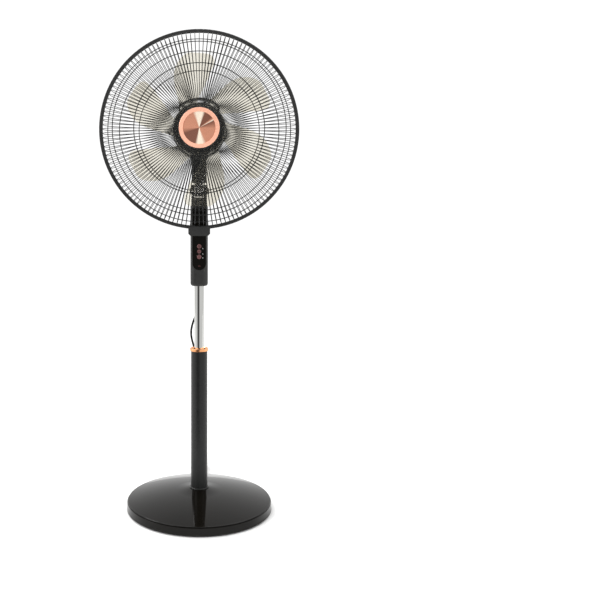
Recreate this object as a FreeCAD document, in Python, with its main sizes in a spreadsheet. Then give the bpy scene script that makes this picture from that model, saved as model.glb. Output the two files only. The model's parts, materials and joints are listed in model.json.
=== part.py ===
import FreeCAD, Part
import math
import os
import re
import Sketcher

# Pedestal fan. Millimetres. +Z up, the fan faces -Y, the origin is on the floor under the pole's axis.
# "Forward" distances are measured towards -Y from the pole's axis.

SIZES = {
    # base
    "base_dia": 340, "base_lean": 5, "base_rim_high": 22, "base_lift": 3, "base_wall": 2.5, "dome_foot_r": 60,
    "dome_foot_high": 42.5, "dome_high": 48.4, "dome_hole_play": 1.5, "weight_inset": 20, "weight_thick": 5,
    "weight_hole_r": 25, "foot_high": 5, "foot_dia": 18, "foot_inset": 3, "foot_count": 6, "socket_flange_r": 50,
    "socket_flange_thick": 4, "socket_high": 26, "socket_wall": 2.9, "socket_play": 0.4, "socket_screw_r": 38,
    "screw_dia": 4.8, "screw_play": 0.2, "screw_head_dia": 9, "screw_head_high": 3,
    # tubes
    "pole_dia": 39, "pole_wall": 1.2, "pole_top": 369.5, "tube_dia": 23, "tube_wall": 1, "tube_hidden": 188.5,
    "tube_shown": 153.5, "tube_in_housing": 17, "collet_deep": 44, "collet_wall": 3, "collet_lip_high": 5.2,
    "collet_slot_wide": 3, "collet_slot_deep": 6, "ring_proud": 2.35, "ring_high": 6.2, "ring_lip": 1.65,
    "bush_high": 20,
    # fits
    "slide_fit": 0.05, "running_fit": 0.05, "part_gap": 0.3, "seat_fit": 0.02, "loose_fit": 0.1,
    # control housing
    "housing_high": 189, "housing_wide": 41, "housing_front": 20, "housing_back": 22, "housing_corner": 12,
    "housing_foot_round": 6, "housing_wall": 2, "housing_split": 2, "panel_side": 4.7, "panel_rise": 38,
    "panel_drop": 8, "panel_thick": 2.4, "panel_proud": 0.4, "power_rise": 55.6, "power_dia": 10,
    "speed_rise": 43.6, "speed_dia": 9, "swing_rise": 31, "swing_dia": 10.4, "button_long": 4.4,
    "button_fit": 0.3, "button_proud": 0.3, "button_flange": 0.9, "button_round": 0.4, "button_travel": 1,
    "lamp_offset": 8.5, "lamp_dia": 1.8, "receiver_rise": 9.6, "receiver_wide": 5, "receiver_deep": 2.6,
    "receiver_high": 1.6, "board_wide": 26, "board_drop": 8, "board_gap": 3, "board_high": 70,
    "board_thick": 1.6, "capacitor_rise": 78, "switch_side": 6,
    "switch_long": 3.4, "hood_wide": 16, "hood_deep": 13, "hood_rise": 17, "hood_high": 30,
    "capacitor_wide": 20, "capacitor_deep": 10, "capacitor_high": 28,
    # tilt and swing joints
    "tilt_rise": 33, "ear_inner": 10, "ear_thick": 8, "ear_r": 15, "tilt_bolt_dia": 8, "tilt_head_dia": 14,
    "tilt_head_thick": 4, "tilt_nut_dia": 15, "tilt_nut_thick": 5, "neck_wide": 36, "neck_deep": 40,
    "neck_rise": 19, "neck_high": 58, "post_dia": 16, "post_high": 18, "post_deep": 12, "post_bore_dia": 10,
    "link_pin_x": 14, "link_pin_y": 8, "link_pin_dia": 4, "link_pin_high": 9, "link_pin_deep": 8,
    # motor
    "motor_dia": 124, "motor_gap": 1, "motor_front": 28, "motor_split": -2, "motor_back": -90,
    "motor_back_r": 44, "cover_wall": 2, "cover_gap": 1.5, "cover_foot_wide": 44, "cover_foot_back": -76,
    "stator_room": 20, "stator_front": 6, "stator_long": 28, "air_gap": 0.5, "rotor_core_dia": 43,
    "coil_inset": 6, "coil_hole_dia": 50, "coil_long": 10, "coil_round": 2, "pillar_dia": 3.8,
    "pillar_inset": 3, "shaft_dia": 8, "shaft_back": -62, "shaft_end": 4, "bearing_dia": 18, "bearing_long": 8,
    "front_bracket_front": 24, "bracket_thick": 4, "bracket_room": 10, "rear_bracket_front": -38,
    "boss_r": 10.5, "boss_high": 17, "motor_nose_r": 19.5, "motor_nose_long": 12, "gearmotor_back": 54,
    "gearmotor_side": 10, "gearmotor_dia": 36, "gearmotor_long": 12, "gearmotor_shaft_dia": 6,
    "gearmotor_lift": 2.5, "crank_arm": 9, "crank_rest": 12.2, "crank_thick": 3, "crank_pin_dia": 4,
    "crank_rise": 14.5, "link_wide": 5, "link_thick": 2.6,
    # handle
    "handle_wide": 96, "handle_rise": 20, "handle_crown": 16, "handle_band": 5, "handle_deep": 24,
    "handle_forward": -5,
    # impeller
    "blade_count": 6, "blade_clear": 39.3, "hub_r": 60, "hub_wall": 2.5, "hub_back": 48, "hub_front": 98,
    "blade_thick": 2, "blade_nut_dia": 30, "blade_nut_long": 10, "hub_boss_r": 10,
    # guards
    "wire_count": 136, "wire_dia": 1.6, "guard_ring_dia": 2, "rim_wire_dia": 3, "weld_sink": 0.55,
    "trim_dia": 450, "trim_front": 94, "trim_back": 80, "trim_wall": 4.4, "trim_lip": 1.6, "trim_round": 1.8,
    "rim_play": 0.2, "rim_gap": 1.3, "trim_play": 0.15, "front_boss_front": 131, "front_boss_long": 7,
    "front_boss_wall": 2.2, "front_plate_thick": 2, "wire_root_sink": 1.3, "front_bend_wide": 39.3,
    "front_shoulder": 120, "front_inner_inset": 33, "front_outer_inset": 24.3, "rear_plate_r": 56,
    "rear_plate_thick": 2, "rear_lip_wide": 7, "rear_lip_high": 5.5, "rear_root_inset": 5, "rear_root_lift": 4,
    "rear_bend_wide": 31.3, "rear_shoulder": 41, "rear_inner_inset": 47, "rear_middle_inset": 2,
    "rear_outer_inset": 6.3, "guard_nut_dia": 66, "guard_nut_long": 7, "guard_grip_dia": 3.2,
    "guard_grip_count": 24, "badge_dia": 89.6, "badge_proud": 5, "badge_face_dia": 71.6, "badge_lip": 1.2,
    "badge_cone": 2, "clip_wide": 49, "clip_rise": 8, "clip_drop": 15, "clip_front": 97, "clip_back": 77,
    "clip_screw_long": 7,
    # cord
    "cord_dia": 5, "cord_back": 28, "relief_long": 30, "relief_top_dia": 9, "relief_tip_dia": 6.6,
    "relief_collar": 4, "relief_step": 1.3, "hank_wide": 36, "hank_waist": 22, "hank_high": 31.5,
    "hank_long": 98, "hank_near": 206, "tie_long": 6, "tie_thick": 1, "plug_wide": 24, "plug_high": 12,
    "plug_long": 34, "plug_near": 329, "pin_dia": 4, "pin_long": 19, "pin_deep": 6, "pin_gap": 19,
}

# Sizes and places that follow from those above.
FOLLOWS = {
    "base_top_dia": "base_dia - base_lean",
    "weight_dia": "base_dia - 2 * weight_inset",
    "foot_ring_r": "(weight_dia - foot_dia) / 2 - foot_inset",
    "plate_top": "foot_high + weight_thick",
    "flange_top": "plate_top + socket_flange_thick",
    "dome_hole_r": "pole_dia / 2 + dome_hole_play",
    "tube_foot": "pole_top - tube_hidden",
    "collet_lip_r": "tube_dia / 2 + collet_wall",
    "ring_dia": "pole_dia + 2 * ring_proud",
    "ring_recess_r": "ring_dia / 2 - ring_lip",
    "housing_foot": "pole_top + tube_shown",
    "housing_top": "housing_foot + housing_high",
    "panel_wide": "housing_wide - 2 * panel_side",
    "panel_foot": "housing_foot + panel_rise",
    "panel_top": "housing_top - panel_drop",
    "power_high": "panel_foot + power_rise",
    "speed_high": "panel_foot + speed_rise",
    "swing_high": "panel_foot + swing_rise",
    "receiver_level": "panel_foot + receiver_rise",
    "button_front": "housing_front + panel_proud + button_proud",
    "button_back": "button_front - button_long",
    "switch_front": "button_back - button_travel - 0.2",
    "board_front": "switch_front - switch_long",
    "hood_foot": "housing_foot + hood_rise",
    "tilt_high": "housing_top + tilt_rise",
    "neck_foot": "tilt_high + neck_rise",
    "neck_top": "neck_foot + neck_high",
    "motor_high": "neck_top + motor_dia / 2 + motor_gap",
    "cover_foot": "neck_top + cover_gap",
    "crank_level": "neck_top + crank_rise",
    "gearmotor_foot": "crank_level + crank_thick + gearmotor_lift",
    "stator_dia": "motor_dia - 2 * stator_room",
    "coil_dia": "stator_dia - 2 * coil_inset",
    "bracket_dia": "motor_dia - 2 * bracket_room",
    "shaft_front": "hub_front + blade_nut_long + shaft_end",
    "handle_top": "motor_high + motor_dia / 2 + handle_rise",
    "handle_shoulder": "handle_top - handle_crown",
    "trim_channel_r": "trim_dia / 2 - trim_wall",
    "rim_r": "trim_channel_r - rim_play - rim_wire_dia / 2",
    "wire_end_r": "rim_r - (rim_wire_dia + wire_dia) / 2 + weld_sink",
    "trim_hole_r": "wire_end_r + wire_dia / 2 + trim_play",
    "front_rim": "trim_front - trim_lip - rim_wire_dia / 2 - rim_gap",
    "rear_rim": "trim_back + trim_lip + rim_wire_dia / 2 + rim_gap",
    "blade_tip_r": "wire_end_r - blade_clear",
    "front_boss_r": "badge_dia / 2 + front_boss_wall",
    "front_boss_back": "front_boss_front - front_boss_long",
    "front_wire_root_r": "front_boss_r - wire_root_sink",
    "front_wire_root": "front_boss_front - front_boss_long / 2",
    "front_shoulder_r": "wire_end_r - front_bend_wide",
    "front_inner_ring_r": "front_shoulder_r - front_inner_inset",
    "front_outer_ring_r": "wire_end_r - front_outer_inset",
    "rear_wire_root_r": "rear_plate_r - rear_root_inset",
    "rear_wire_root": "motor_front + rear_root_lift",
    "rear_shoulder_r": "wire_end_r - rear_bend_wide",
    "rear_inner_ring_r": "rear_shoulder_r - rear_inner_inset",
    "rear_middle_ring_r": "rear_shoulder_r - rear_middle_inset",
    "rear_outer_ring_r": "wire_end_r - rear_outer_inset",
    "badge_front": "front_boss_front + badge_proud",
    "clip_top": "motor_high - trim_dia / 2 + clip_rise",
    "clip_foot": "motor_high - trim_dia / 2 - clip_drop",
}

doc = FreeCAD.newDocument("pedestal_fan")
sheet = doc.addObject("Spreadsheet::Sheet", "sizes")
for row, (alias, number) in enumerate(SIZES.items(), start=1):
    sheet.set("A%d" % row, alias)
    sheet.set("B%d" % row, str(number))
    sheet.setAlias("B%d" % row, alias)
doc.recompute()

V = FreeCAD.Vector
UP = V(0, 0, 1)
RIGHT = V(1, 0, 0)
FORWARD = V(0, -1, 0)
ORIGIN = V(0, 0, 0)
nodes = []


def spelled(expression):
    """An expression in the sheet's own aliases alone."""
    def written_out(word):
        name = word.group()
        return "(" + spelled(FOLLOWS[name]) + ")" if name in FOLLOWS else name
    return re.sub("[a-z_]+", written_out, expression)


def value(expression):
    """The number that an expression stands for now."""
    return float(sheet.evalExpression(spelled(expression)))


def bound(expression):
    """The same expression as other objects write it, with the sheet named before each alias."""
    return re.sub("[a-z_]+", lambda word: "sizes." + word.group(), spelled(expression))


class Sizes:
    """Every size by name, whether it is on the sheet or follows from it."""

    def __getattr__(self, name):
        return value(name)


size = Sizes()


def keep(obj, name):
    """Marks an object as one sub-part and gives it the sub-part's name."""
    obj.Label = name
    nodes.append(obj)
    return obj


def flat_arc(start, middle, end):
    """A sketch's arc through three points, counted anticlockwise from the sketch's X axis."""
    centre = Part.Arc(start, middle, end).toShape().Curve.Center
    first, halfway, last = [math.atan2(spot.y - centre.y, spot.x - centre.x) for spot in (start, middle, end)]
    if (halfway - first) % (2 * math.pi) > (last - first) % (2 * math.pi):
        first, last = last, first
    return Part.ArcOfCircle(Part.Circle(centre, UP, (start - centre).Length), first, last)


def turned(name, outline, forward=False, high="0"):
    """A body turned from an outline of (radius, along) expressions; bulges are (radius, along, "mid").

    The axis is Z, or the forward line at the given height.
    """
    body = doc.addObject("PartDesign::Body", name)
    sketch = body.newObject("Sketcher::SketchObject", name + "_outline")
    plane = [item for item in body.Origin.OriginFeatures if item.Role == "XZ_Plane"][0]
    sketch.AttachmentSupport = [(plane, "")]
    sketch.MapMode = "FlatFace"
    corners = [point for point in outline if len(point) == 2]
    spots = [V(value(point[0]), value(point[1]), 0) for point in corners]
    count = len(corners)
    edges = []
    for point in outline:
        if len(point) == 2:
            start = spots[len(edges)]
            end = spots[(len(edges) + 1) % count]
            edges.append(Part.LineSegment(start, end))
        else:
            bulge = V(value(point[0]), value(point[1]), 0)
            edges[-1] = flat_arc(start, bulge, end)
    sketch.addGeometry(edges, False)
    joined = {}
    for number, edge in enumerate(sketch.Geometry):
        for end, place in ((1, edge.StartPoint), (2, edge.EndPoint)):
            key = (round(place.x, 5), round(place.y, 5))
            joined.setdefault(key, []).append((number, end))
    for (number, end), (other, other_end) in joined.values():
        sketch.addConstraint(Sketcher.Constraint("Coincident", number, end, other, other_end))
    for point, spot in zip(corners, spots):
        number, end = joined[(round(spot.x, 5), round(spot.y, 5))][0]
        for kind, expression, size in (("DistanceX", point[0], spot.x), ("DistanceY", point[1], spot.y)):
            made = sketch.addConstraint(Sketcher.Constraint(kind, -1, 1, number, end, size))
            sketch.setExpression("Constraints[%d]" % made, bound(expression))
    turn = body.newObject("PartDesign::Revolution", name + "_turn")
    turn.Profile = sketch
    turn.ReferenceAxis = (sketch, ["V_Axis"])
    turn.Angle = 360
    if forward:
        body.Placement = FreeCAD.Placement(ORIGIN, FreeCAD.Rotation(RIGHT, 90))
        body.setExpression(".Placement.Base.z", bound(high))
    return body


def cylinder(radius, length, x="0", y="0", z="0", along=UP):
    """A round bar whose radius, length and place are expressions."""
    bar = doc.addObject("Part::Cylinder", "bar")
    bar.setExpression("Radius", bound(radius))
    bar.setExpression("Height", bound(length))
    bar.Placement = FreeCAD.Placement(ORIGIN, FreeCAD.Rotation(UP, along))
    for axis, expression in (("x", x), ("y", y), ("z", z)):
        bar.setExpression(".Placement.Base." + axis, bound(expression))
    return bar


def block(wide, deep, high, x, y, z):
    """A box whose sides and lowest corner are expressions."""
    box = doc.addObject("Part::Box", "block")
    for side, expression in (("Length", wide), ("Width", deep), ("Height", high)):
        box.setExpression(side, bound(expression))
    for axis, expression in (("x", x), ("y", y), ("z", z)):
        box.setExpression(".Placement.Base." + axis, bound(expression))
    return box


def cut(base, tool):
    """One object less another."""
    result = doc.addObject("Part::Cut", "cut")
    result.Base = base
    result.Tool = tool
    return result


def fuse(*pieces):
    """Several objects made one."""
    result = doc.addObject("Part::MultiFuse", "fuse")
    result.Shapes = list(pieces)
    return result


def together(name, *pieces):
    """Separate solids of one sub-part."""
    group = doc.addObject("Part::Compound", name)
    group.Links = list(pieces)
    return keep(group, name)


def pegs(radius, length, ring_r, count, first, z):
    """Upright round bars evenly round the pole's axis."""
    bars = []
    for step in range(count):
        turn = math.radians(first + 360 * step / count)
        bars.append(cylinder(radius, length, "%.6f * %s" % (math.cos(turn), ring_r),
                             "%.6f * %s" % (math.sin(turn), ring_r), z))
    return bars


def washer(name, inner, outer, back, front):
    """A round bar or ring on the motor's axis between two forward distances."""
    return turned(name, [(inner, back), (outer, back), (outer, front), (inner, front)], True, "motor_high")


def shaped(name, shape):
    """A sub-part whose shape is worked out in this script from the sheet's sizes."""
    feature = doc.addObject("Part::Feature", name)
    feature.Shape = shape
    return keep(feature, name)


def around(shape, count, centre, axis, first=0.0):
    """Copies of a shape evenly round an axis."""
    copies = []
    for step in range(count):
        copy = shape.copy()
        copy.rotate(centre, axis, first + 360.0 * step / count)
        copies.append(copy)
    return copies


def tube(inner, outer, foot, top):
    """A plain upright tube between two heights."""
    return turned("tube", [(inner, foot), (outer, foot), (outer, top), (inner, top)])


def many(shapes):
    """Separate solids of one node."""
    return Part.makeCompound(shapes)


def screws(spots, along, shank, head_high=None):
    """Pan-head screws: each spot is where the head's underside seats, and the shank runs against along."""
    made = []
    for spot in spots:
        head = Part.makeCylinder(size.screw_head_dia / 2, head_high or size.screw_head_high, spot, along)
        body = Part.makeCylinder(size.screw_dia / 2, shank, spot, along * -1)
        slot = Part.makeBox(1.2, size.screw_head_dia, 1.2, V(-0.6, -size.screw_head_dia / 2, 0))
        slot_foot = spot + along * (size.screw_head_high - 1.2)
        slot.Placement = FreeCAD.Placement(slot_foot, FreeCAD.Rotation(UP, along))
        made.append(head.fuse(body).cut(slot))
    return many(made)


# ---- base ----

def base():
    """Domed cover, weight, feet, and the socket that holds the pole."""
    rim = "base_dia / 2"
    edge = "base_top_dia / 2"
    cover = turned("base_cover", [
        (rim + " - base_wall", "base_lift"), (rim, "base_lift"),
        (rim + " - 1.2", "base_rim_high - 3"), (edge + " - 1.4", "base_rim_high - 2.2"),
        (edge, "base_rim_high - 1.6"),
        (edge + " - 0.4", "base_rim_high - 0.4", "mid"), (edge + " - 1.8", "base_rim_high"),
        ("(base_top_dia / 2 + dome_foot_r) / 2", "(base_rim_high + dome_foot_high) / 2 + 2", "mid"),
        ("dome_foot_r", "dome_foot_high"),
        ("dome_foot_r * 0.62", "dome_foot_high + 2.9", "mid"), ("dome_hole_r", "dome_high"),
        ("dome_hole_r", "dome_high - base_wall"),
        ("dome_foot_r * 0.6", "dome_foot_high + 2.9 - base_wall", "mid"),
        ("dome_foot_r - 0.6", "dome_foot_high - base_wall"),
        ("(base_top_dia / 2 + dome_foot_r) / 2", "(base_rim_high + dome_foot_high) / 2 + 2 - base_wall", "mid"),
        (edge + " - 2.6", "base_rim_high - base_wall"), (edge + " - 4.4", "base_rim_high - 4.6"),
        (rim + " - base_wall - 1.2", "base_rim_high - 5.6")])
    keep(cover, "base_cover")

    holes = fuse(*pegs("screw_dia / 2 + screw_play", "flange_top", "socket_screw_r", 4, 45, "0"))
    plate = turned("weight_plate", [("weight_hole_r", "foot_high"), ("weight_dia / 2", "foot_high"),
                                    ("weight_dia / 2", "plate_top"), ("weight_hole_r", "plate_top")])
    keep(cut(plate, holes), "base_weight")
    together("base_feet", *pegs("foot_dia / 2", "foot_high", "foot_ring_r", int(size.foot_count), 30, "0"))

    stub = "pole_dia / 2 - pole_wall - socket_play"
    socket = turned("socket", [
        (stub + " - socket_wall", "plate_top"), ("socket_flange_r", "plate_top"),
        ("socket_flange_r", "flange_top"), (stub, "flange_top"), (stub, "flange_top + socket_high"),
        (stub + " - socket_wall", "flange_top + socket_high")])
    keep(cut(socket, holes), "pole_socket")

    spots = []
    for quarter in range(4):
        turn = math.radians(45 + 90 * quarter)
        spots.append(V(size.socket_screw_r * math.cos(turn), size.socket_screw_r * math.sin(turn), size.flange_top))
    shaped("pole_socket_screws", screws(spots, UP, size.socket_flange_thick + size.weight_thick - 0.5))

    keep(tube("pole_dia / 2 - pole_wall", "pole_dia / 2", "flange_top", "pole_top"), "lower_pole")
    ring = turned("pole_foot_ring", [
        ("pole_dia / 2 + seat_fit", "dome_high"), ("dome_hole_r + 1.6", "dome_high"),
        ("dome_hole_r + 1.6", "dome_high + 0.8"),
        ("dome_hole_r + 1.1", "dome_high + 2.2", "mid"), ("dome_hole_r - 0.2", "dome_high + 2.6"),
        ("pole_dia / 2 + seat_fit", "dome_high + 2.6")])
    keep(ring, "pole_foot_ring")


def height_clamp():
    """Slotted collet in the pole's mouth and the copper ring that turns on it."""
    collet = turned("collet", [
        ("tube_dia / 2 + slide_fit", "pole_top - collet_deep"),
        ("pole_dia / 2 - pole_wall - seat_fit", "pole_top - collet_deep"),
        ("pole_dia / 2 - pole_wall - seat_fit", "pole_top"),
        ("collet_lip_r", "pole_top"), ("collet_lip_r", "pole_top + collet_lip_high - 1"),
        ("collet_lip_r - 1", "pole_top + collet_lip_high"),
        ("tube_dia / 2 + slide_fit", "pole_top + collet_lip_high")])
    slot = block("2 * collet_lip_r + 2", "collet_slot_wide", "collet_lip_high + 2 * collet_slot_deep",
                 "-collet_lip_r - 1", "-collet_slot_wide / 2", "pole_top - collet_slot_deep")
    cross = block("collet_slot_wide", "2 * collet_lip_r + 2", "collet_lip_high + 2 * collet_slot_deep",
                  "-collet_slot_wide / 2", "-collet_lip_r - 1", "pole_top - collet_slot_deep")
    keep(cut(cut(collet, slot), cross), "height_collet")

    ring = turned("height_ring", [
        ("collet_lip_r + running_fit", "pole_top + part_gap"),
        ("ring_dia / 2 - 0.9", "pole_top + part_gap"),
        ("ring_dia / 2 - 0.2", "pole_top + part_gap + 0.3", "mid"),
        ("ring_dia / 2", "pole_top + part_gap + 1.2"),
        ("ring_dia / 2", "pole_top + ring_high - 1.2"),
        ("ring_dia / 2 - 0.25", "pole_top + ring_high - 0.25", "mid"),
        ("ring_dia / 2 - 0.9", "pole_top + ring_high"),
        ("ring_recess_r", "pole_top + ring_high"),
        ("collet_lip_r + 1", "pole_top + part_gap + 1.6"),
        ("collet_lip_r + running_fit", "pole_top + part_gap + 1.6")])
    keep(ring, "height_ring")


# ---- column: the chrome tube and the control housing that it carries ----

def rounded_column(wide, front, back, corner, foot, top):
    """An upright bar with rounded corners, from forward = front to forward = -back."""
    box = Part.makeBox(wide, front + back, top - foot, V(-wide / 2, -front, foot))
    edges = [edge for edge in box.Edges if abs(edge.tangentAt(edge.FirstParameter).z) > 0.9]
    return box.makeFillet(corner, edges)


def ears(radius, inner, thick, high):
    """Two discs on a left-right axis, from x = inner outwards on both sides."""
    right = Part.makeCylinder(radius, thick, V(inner, 0, high), RIGHT)
    left = Part.makeCylinder(radius, thick, V(-inner, 0, high), RIGHT * -1)
    return [right, left]


def panel_outline(inset, deep, front):
    """The control panel's solid: straight at the top, a half round at the foot."""
    half = size.panel_wide / 2 - inset
    middle = size.panel_foot + size.panel_wide / 2
    straight = Part.makeBox(2 * half, deep, size.panel_top - inset - middle, V(-half, -front, middle))
    return straight.fuse(Part.makeCylinder(half, deep, V(0, -front, middle), V(0, 1, 0))).removeSplitter()


def buttons():
    """Name, height and diameter of the three buttons."""
    return [("power_button", "power_high", "power_dia"), ("speed_button", "speed_high", "speed_dia"),
            ("swing_button", "swing_high", "swing_dia")]


def column():
    """Chrome tube, housing shells, panel with its buttons, board and the tilt yoke."""
    keep(tube("tube_dia / 2 - tube_wall", "tube_dia / 2", "tube_foot", "housing_foot + tube_in_housing"),
         "chrome_tube")
    keep(tube("tube_dia / 2 + seat_fit", "pole_dia / 2 - pole_wall - slide_fit", "tube_foot",
              "tube_foot + bush_high"), "tube_foot_bush")

    wide = size.housing_wide
    front = size.housing_front
    back = size.housing_back
    foot = size.housing_foot
    top = size.housing_top
    wall = size.housing_wall
    outer = rounded_column(wide, front, back, size.housing_corner, foot, top)
    low = [edge for edge in outer.Edges if abs(edge.CenterOfMass.z - foot) < 0.01]
    outer = outer.makeFillet(size.housing_foot_round, low)
    inner = rounded_column(wide - 2 * wall, front - wall, back - wall, size.housing_corner - wall,
                           foot + wall, top - wall)
    shell = outer.cut(inner)
    tube_r = size.tube_dia / 2
    socket = Part.makeCylinder(tube_r + 3, 26, V(0, 0, foot + wall - 0.5))
    shell = shell.fuse(socket.common(outer))
    shell = shell.cut(Part.makeCylinder(tube_r + size.seat_fit, size.tube_in_housing, V(0, 0, foot)))
    recess = panel_outline(-0.05, 30, front + 1)
    pocket = panel_outline(2, 30, front + 1)
    deep = size.panel_thick - size.panel_proud
    seat = recess.common(Part.makeBox(wide, 1 + deep, 400, V(-wide / 2, -front - 1, foot)))
    window = pocket.common(Part.makeBox(wide, 1 + deep + 6, 400, V(-wide / 2, -front - 1, foot)))
    rim = panel_outline(-1.4, 2, front - deep)
    shell = shell.fuse(rim.common(outer)).cut(seat).cut(window)

    yoke_hole = Part.makeBox(2 * size.ear_inner + 0.0, 30, 20, V(-size.ear_inner, -15, top - 10))
    shell = shell.cut(yoke_hole)
    split = -size.housing_split
    front_half = shell.common(Part.makeBox(80, 60, 400, V(-40, split - 60, foot - 10)))
    rear_half = shell.common(Part.makeBox(80, 80, 400, V(-40, split, foot - 10)))

    hood_wide = size.hood_wide
    hood_foot = size.hood_foot
    hood = Part.makeBox(hood_wide, size.hood_deep + wall, size.hood_high,
                        V(-hood_wide / 2, back - wall, hood_foot))
    slope = [edge for edge in hood.Edges if abs(edge.CenterOfMass.y - back - size.hood_deep) < 0.01
             and abs(edge.CenterOfMass.z - hood_foot - size.hood_high) < 0.01]
    hood = hood.makeChamfer(size.hood_deep - 1, slope)
    hood = hood.makeFillet(2.5, [edge for edge in hood.Edges
                                 if abs(abs(edge.CenterOfMass.x) - hood_wide / 2) < 0.01
                                 and edge.CenterOfMass.y > back + 2 and edge.CenterOfMass.z < hood_foot + 12
                                 and edge.CenterOfMass.z > hood_foot + 1])
    cord_way = Part.makeCylinder(size.relief_top_dia / 2 - 1.2, 12, V(0, size.cord_back, hood_foot))
    rear_half = rear_half.fuse(hood).cut(cord_way)
    rear_half = rear_half.cut(Part.makeBox(6, 14, 6, V(-3, back - wall - 8, hood_foot + 4)))
    shaped("housing_front", front_half)

    screw_spots = [V(0, back, foot + 60), V(0, back, foot + 125)]
    for spot in screw_spots:
        hole = Part.makeCylinder(size.screw_dia / 2 + size.seat_fit, 8, spot - V(0, 6, 0), V(0, 1, 0))
        rear_half = rear_half.cut(hole)
    shaped("housing_rear", rear_half)
    shaped("housing_screws", screws(screw_spots, V(0, 1, 0), back - 6, 1.6 + 1.4))

    panel = panel_outline(0, size.panel_thick, front + size.panel_proud)
    for name, high, dia in buttons():
        hole = Part.makeCylinder(value(dia) / 2 + size.button_fit, 12, V(0, -front - 3, value(high)), V(0, 1, 0))
        panel = panel.cut(hole)
    lamp_spots = []
    for high in (size.power_high - 5.6, size.speed_high - 5.6, size.swing_high - 2.5):
        lamp_spots.append(V(size.lamp_offset, -front - size.panel_proud, high))
    for spot in lamp_spots:
        panel = panel.cut(Part.makeCylinder(size.lamp_dia / 2, 10, spot - V(0, 1, 0), V(0, 1, 0)))
    receiver = block("receiver_wide", "receiver_deep", "receiver_high", "-receiver_wide / 2",
                     "-housing_front - panel_proud", "receiver_level - receiver_high / 2")
    doc.recompute()
    shaped("control_panel", panel.cut(receiver.Shape))
    keep(receiver, "remote_receiver")

    for name, high, dia in buttons():
        key = turned(name, [
            ("0", "button_back"), (dia + " / 2 + button_flange", "button_back"),
            (dia + " / 2 + button_flange", "button_back + button_flange"),
            (dia + " / 2", "button_back + button_flange"), (dia + " / 2", "button_front - button_round"),
            (dia + " / 2 - 0.3 * button_round", "button_front - 0.3 * button_round", "mid"),
            (dia + " / 2 - button_round", "button_front"), ("0", "button_front")], True, high)
        keep(key, name)

    half = "switch_side / 2"
    switches = [block("switch_side", "switch_long", "switch_side", "-" + half, "-switch_front", high + " - " + half)
                for name, high, dia in buttons()]
    board = block("board_wide", "board_thick", "board_high", "-board_wide / 2", "-board_front",
                  "receiver_level - board_drop")
    together("control_board", board, *switches)
    lamps = [Part.makeCylinder(size.lamp_dia / 2 - size.seat_fit, -spot.y - size.board_front, spot, V(0, 1, 0))
             for spot in lamp_spots]
    shaped("indicator_lamps", many(lamps))
    capacitor = block("capacitor_wide", "capacitor_deep", "capacitor_high", "-capacitor_wide / 2",
                      "board_thick - board_front + board_gap", "housing_foot + capacitor_rise")
    keep(capacitor, "motor_capacitor")

    relief = turned("cord_strain_relief", [
        ("0", "hood_foot - relief_long"), ("relief_tip_dia / 2", "hood_foot - relief_long"),
        ("relief_top_dia / 2", "hood_foot"), ("relief_top_dia / 2 - relief_step", "hood_foot"),
        ("relief_top_dia / 2 - relief_step", "hood_foot + relief_collar"), ("0", "hood_foot + relief_collar")])
    relief.setExpression(".Placement.Base.y", bound("cord_back"))
    keep(relief, "cord_strain_relief")


def yoke():
    """Two ears on the housing's top, and the bolt and nut that the neck tilts on."""
    top = size.housing_top
    inner = size.ear_inner
    thick = size.ear_thick
    wide = 2 * (inner + thick)
    high = size.tilt_high
    sides = ears(size.ear_r, inner, thick, high)
    foot = Part.makeBox(wide, 2 * size.ear_r, high - top, V(-wide / 2, -size.ear_r, top))
    gap = Part.makeBox(2 * inner, 60, 80, V(-inner, -30, top + 8))
    plug = Part.makeBox(2 * inner - 0.4, 24, 14, V(-inner + 0.2, -12, top - 12))
    body = foot.fuse(sides[0]).fuse(sides[1]).fuse(plug).cut(gap)
    radius = size.tilt_bolt_dia / 2 + size.seat_fit
    body = body.cut(Part.makeCylinder(radius, 80, V(-40, 0, high), RIGHT))
    swept = Part.makeCylinder(size.ear_r - 1, 2 * inner, V(-inner, 0, high), RIGHT)
    shaped("tilt_yoke", body.cut(swept))

    end = "ear_inner + ear_thick"
    bolt = cylinder("tilt_bolt_dia / 2", "2 * (" + end + ") + tilt_nut_thick + 1", "-" + "(" + end + ")",
                    z="tilt_high", along=RIGHT)
    head = cylinder("tilt_head_dia / 2", "tilt_head_thick", "-(" + end + ") - tilt_head_thick", z="tilt_high",
                    along=RIGHT)
    nut = cylinder("tilt_nut_dia / 2", "tilt_nut_thick", end, z="tilt_high", along=RIGHT)
    bore = cylinder("tilt_bolt_dia / 2 + seat_fit", "tilt_nut_thick", end, z="tilt_high", along=RIGHT)
    together("tilt_bolt_and_nut", fuse(bolt, head), cut(nut, bore))


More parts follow.
